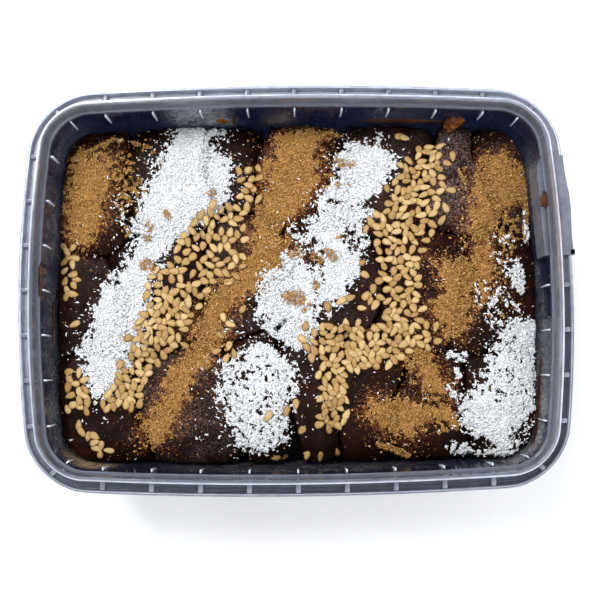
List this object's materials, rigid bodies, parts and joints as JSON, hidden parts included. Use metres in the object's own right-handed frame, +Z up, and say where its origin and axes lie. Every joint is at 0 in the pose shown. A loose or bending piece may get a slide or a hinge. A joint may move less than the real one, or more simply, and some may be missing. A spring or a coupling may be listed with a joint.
{
  "type": "ranginak in a plastic tub",
  "caption": "Ranginak: soft dates pressed in rows on a dark base layer, banded with grated coconut, cinnamon and sesame seeds, in a clear rectangular tub without its lid.",
  "frame": {"origin": "middle of the tub's underside, on the surface that it stands on", "axes": "+X along the tub towards the end with the opening tab, +Y across it towards the row of dates called back, +Z up out of the open tub"},
  "size_m": [0.1507, 0.1116, 0.048],
  "materials": {
    "tub_plastic": "clear thin plastic, glossy, reading as smoky navy",
    "date_skin": "dark brown soft date skin, satin, wrinkled",
    "base_paste": "dark crumbly paste, slightly oily",
    "coconut": "white grated coconut, matte",
    "cinnamon": "ground cinnamon, matte powder",
    "sesame": "hulled sesame seeds, satin"
  },
  "bodies": {
    "root": {"tub": "tub_plastic", "bed": "base_paste", "date_back_1": "date_skin", "date_back_2": "date_skin", "date_back_3": "date_skin", "date_back_4": "date_skin", "date_back_5": "date_skin", "date_back_6": "date_skin", "date_back_7": "date_skin", "date_middle_1": "date_skin", "date_middle_2": "date_skin", "date_middle_3": "date_skin", "date_middle_4": "date_skin", "date_middle_5": "date_skin", "date_middle_6": "date_skin", "date_front_1": "date_skin", "date_front_2": "date_skin", "date_front_3": "date_skin", "date_front_4": "date_skin", "date_front_5": "date_skin", "date_front_6": "date_skin", "date_front_7": "date_skin"}
  },
  "joints": []
}
